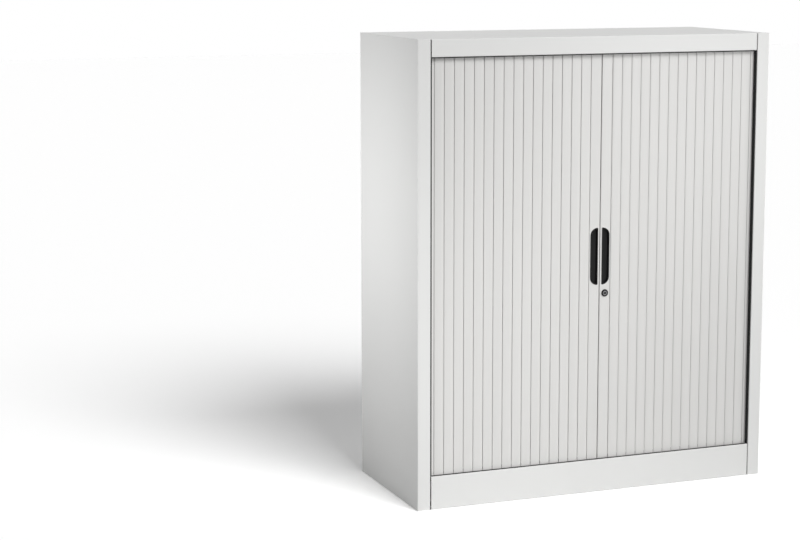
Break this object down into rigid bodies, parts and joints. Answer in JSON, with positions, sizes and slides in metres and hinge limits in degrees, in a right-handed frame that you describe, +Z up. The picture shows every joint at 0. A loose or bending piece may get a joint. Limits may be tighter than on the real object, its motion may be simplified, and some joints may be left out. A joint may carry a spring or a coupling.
{
  "type": "tambour cabinet",
  "caption": "Floor-standing steel cabinet with two side-opening roller curtains of upright slats, recessed grips, a cylinder lock, shelves and levelling feet.",
  "frame": {"origin": "on the floor, under the middle of the cabinet's outline", "axes": "+Z up, +Y from the doors to the back, +X to the right of someone who faces the doors"},
  "size_m": [1, 0.42, 1.2],
  "materials": {
    "cabinet_steel": "light grey powder coat, fine orange peel, satin",
    "slat_plastic": "light grey extruded plastic, smooth, satin",
    "track_plastic": "black plastic, matt",
    "grip_plastic": "black moulded plastic, fine grain",
    "lock_steel": "dark nickelled lock barrel",
    "plug_steel": "nickelled plug",
    "zinc_steel": "zinc plated",
    "foot_plastic": "black plastic pad on a zinc plated stud"
  },
  "bodies": {
    "case": {"left_side_panel": "cabinet_steel", "right_side_panel": "cabinet_steel", "left_liner_panel": "cabinet_steel", "right_liner_panel": "cabinet_steel", "back_panel": "cabinet_steel", "top_panel": "cabinet_steel", "head_channel": "cabinet_steel", "bottom_panel": "cabinet_steel", "front_plinth": "cabinet_steel", "top_track": "track_plastic", "bottom_track": "track_plastic", "edge_guides": "track_plastic", "lower_shelf": "cabinet_steel", "upper_shelf": "cabinet_steel", "shelf_clips": "zinc_steel"},
    "left_door": {"left_leading_slat": "slat_plastic", "left_handle": "grip_plastic", "strike_plate": "zinc_steel"},
    "right_door": {"right_leading_slat": "slat_plastic", "right_handle": "grip_plastic", "lock_barrel": "lock_steel"},
    "lock": {"lock_plug": "plug_steel", "lock_cam": "zinc_steel"},
    "left_slat_01": {"left_slat_01": "slat_plastic"},
    "left_slat_02": {"left_slat_02": "slat_plastic"},
    "left_slat_03": {"left_slat_03": "slat_plastic"},
    "left_slat_04": {"left_slat_04": "slat_plastic"},
    "left_slat_05": {"left_slat_05": "slat_plastic"},
    "left_slat_06": {"left_slat_06": "slat_plastic"},
    "left_slat_07": {"left_slat_07": "slat_plastic"},
    "left_slat_08": {"left_slat_08": "slat_plastic"},
    "left_slat_09": {"left_slat_09": "slat_plastic"},
    "left_slat_10": {"left_slat_10": "slat_plastic"},
    "left_slat_11": {"left_slat_11": "slat_plastic"},
    "left_slat_12": {"left_slat_12": "slat_plastic"},
    "left_slat_13": {"left_slat_13": "slat_plastic"},
    "left_slat_14": {"left_slat_14": "slat_plastic"},
    "left_slat_15": {"left_slat_15": "slat_plastic"},
    "left_slat_16": {"left_slat_16": "slat_plastic"},
    "left_slat_17": {"left_slat_17": "slat_plastic"},
    "right_slat_01": {"right_slat_01": "slat_plastic"},
    "right_slat_02": {"right_slat_02": "slat_plastic"},
    "right_slat_03": {"right_slat_03": "slat_plastic"},
    "right_slat_04": {"right_slat_04": "slat_plastic"},
    "right_slat_05": {"right_slat_05": "slat_plastic"},
    "right_slat_06": {"right_slat_06": "slat_plastic"},
    "right_slat_07": {"right_slat_07": "slat_plastic"},
    "right_slat_08": {"right_slat_08": "slat_plastic"},
    "right_slat_09": {"right_slat_09": "slat_plastic"},
    "right_slat_10": {"right_slat_10": "slat_plastic"},
    "right_slat_11": {"right_slat_11": "slat_plastic"},
    "right_slat_12": {"right_slat_12": "slat_plastic"},
    "right_slat_13": {"right_slat_13": "slat_plastic"},
    "right_slat_14": {"right_slat_14": "slat_plastic"},
    "right_slat_15": {"right_slat_15": "slat_plastic"},
    "right_slat_16": {"right_slat_16": "slat_plastic"},
    "front_left_foot": {"front_left_foot": "foot_plastic"},
    "front_right_foot": {"front_right_foot": "foot_plastic"},
    "rear_left_foot": {"rear_left_foot": "foot_plastic"},
    "rear_right_foot": {"rear_right_foot": "foot_plastic"}
  },
  "joints": [
    {"name": "left_door_slide", "type": "slide", "parent": "case", "child": "left_door", "axis": [-1, 0, 0], "range_m": [0, 0.4494]},
    {"name": "left_slat_01_slide", "type": "slide", "parent": "case", "child": "left_slat_01", "axis": [-1, 0, 0], "range_m": [0, 0.4494]},
    {"name": "left_slat_02_slide", "type": "slide", "parent": "case", "child": "left_slat_02", "axis": [-1, 0.0054, 0], "range_m": [0, 0.42231]},
    {"name": "left_slat_03_slide", "type": "slide", "parent": "case", "child": "left_slat_03", "axis": [-0.9999, 0.0116, 0], "range_m": [0, 0.39523]},
    {"name": "left_slat_04_slide", "type": "slide", "parent": "case", "child": "left_slat_04", "axis": [-0.9998, 0.0187, 0], "range_m": [0, 0.36817]},
    {"name": "left_slat_05_slide", "type": "slide", "parent": "case", "child": "left_slat_05", "axis": [-0.9996, 0.027, 0], "range_m": [0, 0.34113]},
    {"name": "left_slat_06_slide", "type": "slide", "parent": "case", "child": "left_slat_06", "axis": [-0.9993, 0.0366, 0], "range_m": [0, 0.31411]},
    {"name": "left_slat_07_slide", "type": "slide", "parent": "case", "child": "left_slat_07", "axis": [-0.9988, 0.0481, 0], "range_m": [0, 0.28713]},
    {"name": "left_slat_08_slide", "type": "slide", "parent": "case", "child": "left_slat_08", "axis": [-0.9981, 0.0619, 0], "range_m": [0, 0.2602]},
    {"name": "left_slat_09_slide", "type": "slide", "parent": "case", "child": "left_slat_09", "axis": [-0.9969, 0.0789, 0], "range_m": [0, 0.23333]},
    {"name": "left_slat_10_slide", "type": "slide", "parent": "case", "child": "left_slat_10", "axis": [-0.995, 0.1002, 0], "range_m": [0, 0.20654]},
    {"name": "left_slat_11_slide", "type": "slide", "parent": "case", "child": "left_slat_11", "axis": [-0.9918, 0.1279, 0], "range_m": [0, 0.17988]},
    {"name": "left_slat_12_slide", "type": "slide", "parent": "case", "child": "left_slat_12", "axis": [-0.9863, 0.1649, 0], "range_m": [0, 0.1534]},
    {"name": "left_slat_13_slide", "type": "slide", "parent": "case", "child": "left_slat_13", "axis": [-0.9762, 0.2169, 0], "range_m": [0, 0.12723]},
    {"name": "left_slat_14_slide", "type": "slide", "parent": "case", "child": "left_slat_14", "axis": [-0.9557, 0.2943, 0], "range_m": [0, 0.1016]},
    {"name": "left_slat_15_slide", "type": "slide", "parent": "case", "child": "left_slat_15", "axis": [-0.9085, 0.4179, 0], "range_m": [0, 0.07705]},
    {"name": "left_slat_16_slide", "type": "slide", "parent": "case", "child": "left_slat_16", "axis": [-0.7793, 0.6267, 0], "range_m": [0, 0.05505]},
    {"name": "left_slat_17_slide", "type": "slide", "parent": "case", "child": "left_slat_17", "axis": [-0.3945, 0.9189, 0], "range_m": [0, 0.04005]},
    {"name": "right_door_slide", "type": "slide", "parent": "case", "child": "right_door", "axis": [1, 0, 0], "range_m": [0, 0.4214]},
    {"name": "right_slat_01_slide", "type": "slide", "parent": "case", "child": "right_slat_01", "axis": [1, 0, 0], "range_m": [0, 0.4214]},
    {"name": "right_slat_02_slide", "type": "slide", "parent": "case", "child": "right_slat_02", "axis": [1, 0.0058, 0], "range_m": [0, 0.39431]},
    {"name": "right_slat_03_slide", "type": "slide", "parent": "case", "child": "right_slat_03", "axis": [0.9999, 0.0125, 0], "range_m": [0, 0.36723]},
    {"name": "right_slat_04_slide", "type": "slide", "parent": "case", "child": "right_slat_04", "axis": [0.9998, 0.0203, 0], "range_m": [0, 0.34017]},
    {"name": "right_slat_05_slide", "type": "slide", "parent": "case", "child": "right_slat_05", "axis": [0.9996, 0.0294, 0], "range_m": [0, 0.31314]},
    {"name": "right_slat_06_slide", "type": "slide", "parent": "case", "child": "right_slat_06", "axis": [0.9992, 0.0402, 0], "range_m": [0, 0.28613]},
    {"name": "right_slat_07_slide", "type": "slide", "parent": "case", "child": "right_slat_07", "axis": [0.9986, 0.0532, 0], "range_m": [0, 0.25917]},
    {"name": "right_slat_08_slide", "type": "slide", "parent": "case", "child": "right_slat_08", "axis": [0.9976, 0.0693, 0], "range_m": [0, 0.23226]},
    {"name": "right_slat_09_slide", "type": "slide", "parent": "case", "child": "right_slat_09", "axis": [0.996, 0.0896, 0], "range_m": [0, 0.20543]},
    {"name": "right_slat_10_slide", "type": "slide", "parent": "case", "child": "right_slat_10", "axis": [0.9933, 0.1158, 0], "range_m": [0, 0.1787]},
    {"name": "right_slat_11_slide", "type": "slide", "parent": "case", "child": "right_slat_11", "axis": [0.9885, 0.1512, 0], "range_m": [0, 0.15215]},
    {"name": "right_slat_12_slide", "type": "slide", "parent": "case", "child": "right_slat_12", "axis": [0.9796, 0.201, 0], "range_m": [0, 0.12587]},
    {"name": "right_slat_13_slide", "type": "slide", "parent": "case", "child": "right_slat_13", "axis": [0.9612, 0.2758, 0], "range_m": [0, 0.10008]},
    {"name": "right_slat_14_slide", "type": "slide", "parent": "case", "child": "right_slat_14", "axis": [0.9178, 0.3971, 0], "range_m": [0, 0.07529]},
    {"name": "right_slat_15_slide", "type": "slide", "parent": "case", "child": "right_slat_15", "axis": [0.7936, 0.6084, 0], "range_m": [0, 0.05292]},
    {"name": "right_slat_16_slide", "type": "slide", "parent": "case", "child": "right_slat_16", "axis": [0.3965, 0.918, 0], "range_m": [0, 0.03758]},
    {"name": "lock_turn", "type": "hinge", "parent": "right_door", "child": "lock", "pos_m": [0.0297, -0.198, 0.53], "axis": [0, -1, 0], "range_deg": [0, 90]},
    {"name": "front_left_foot_screw", "type": "slide", "parent": "case", "child": "front_left_foot", "axis": [0, 0, -1], "range_m": [0, 0.01]},
    {"name": "front_right_foot_screw", "type": "slide", "parent": "case", "child": "front_right_foot", "axis": [0, 0, -1], "range_m": [0, 0.01]},
    {"name": "rear_left_foot_screw", "type": "slide", "parent": "case", "child": "rear_left_foot", "axis": [0, 0, -1], "range_m": [0, 0.01]},
    {"name": "rear_right_foot_screw", "type": "slide", "parent": "case", "child": "rear_right_foot", "axis": [0, 0, -1], "range_m": [0, 0.01]}
  ],
  "couplings": [
    {"joint": "left_slat_01_slide", "follows": "left_door_slide", "ratio": 1},
    {"joint": "left_slat_02_slide", "follows": "left_door_slide", "ratio": 0.93971},
    {"joint": "left_slat_03_slide", "follows": "left_door_slide", "ratio": 0.87945},
    {"joint": "left_slat_04_slide", "follows": "left_door_slide", "ratio": 0.81924},
    {"joint": "left_slat_05_slide", "follows": "left_door_slide", "ratio": 0.75907},
    {"joint": "left_slat_06_slide", "follows": "left_door_slide", "ratio": 0.69896},
    {"joint": "left_slat_07_slide", "follows": "left_door_slide", "ratio": 0.63892},
    {"joint": "left_slat_08_slide", "follows": "left_door_slide", "ratio": 0.57899},
    {"joint": "left_slat_09_slide", "follows": "left_door_slide", "ratio": 0.5192},
    {"joint": "left_slat_10_slide", "follows": "left_door_slide", "ratio": 0.45959},
    {"joint": "left_slat_11_slide", "follows": "left_door_slide", "ratio": 0.40026},
    {"joint": "left_slat_12_slide", "follows": "left_door_slide", "ratio": 0.34135},
    {"joint": "left_slat_13_slide", "follows": "left_door_slide", "ratio": 0.28311},
    {"joint": "left_slat_14_slide", "follows": "left_door_slide", "ratio": 0.22608},
    {"joint": "left_slat_15_slide", "follows": "left_door_slide", "ratio": 0.17145},
    {"joint": "left_slat_16_slide", "follows": "left_door_slide", "ratio": 0.1225},
    {"joint": "left_slat_17_slide", "follows": "left_door_slide", "ratio": 0.089115},
    {"joint": "right_slat_01_slide", "follows": "right_door_slide", "ratio": 1},
    {"joint": "right_slat_02_slide", "follows": "right_door_slide", "ratio": 0.93571},
    {"joint": "right_slat_03_slide", "follows": "right_door_slide", "ratio": 0.87145},
    {"joint": "right_slat_04_slide", "follows": "right_door_slide", "ratio": 0.80724},
    {"joint": "right_slat_05_slide", "follows": "right_door_slide", "ratio": 0.74308},
    {"joint": "right_slat_06_slide", "follows": "right_door_slide", "ratio": 0.679},
    {"joint": "right_slat_07_slide", "follows": "right_door_slide", "ratio": 0.61502},
    {"joint": "right_slat_08_slide", "follows": "right_door_slide", "ratio": 0.55116},
    {"joint": "right_slat_09_slide", "follows": "right_door_slide", "ratio": 0.48748},
    {"joint": "right_slat_10_slide", "follows": "right_door_slide", "ratio": 0.42407},
    {"joint": "right_slat_11_slide", "follows": "right_door_slide", "ratio": 0.36105},
    {"joint": "right_slat_12_slide", "follows": "right_door_slide", "ratio": 0.29869},
    {"joint": "right_slat_13_slide", "follows": "right_door_slide", "ratio": 0.2375},
    {"joint": "right_slat_14_slide", "follows": "right_door_slide", "ratio": 0.17867},
    {"joint": "right_slat_15_slide", "follows": "right_door_slide", "ratio": 0.12559},
    {"joint": "right_slat_16_slide", "follows": "right_door_slide", "ratio": 0.089179}
  ]
}
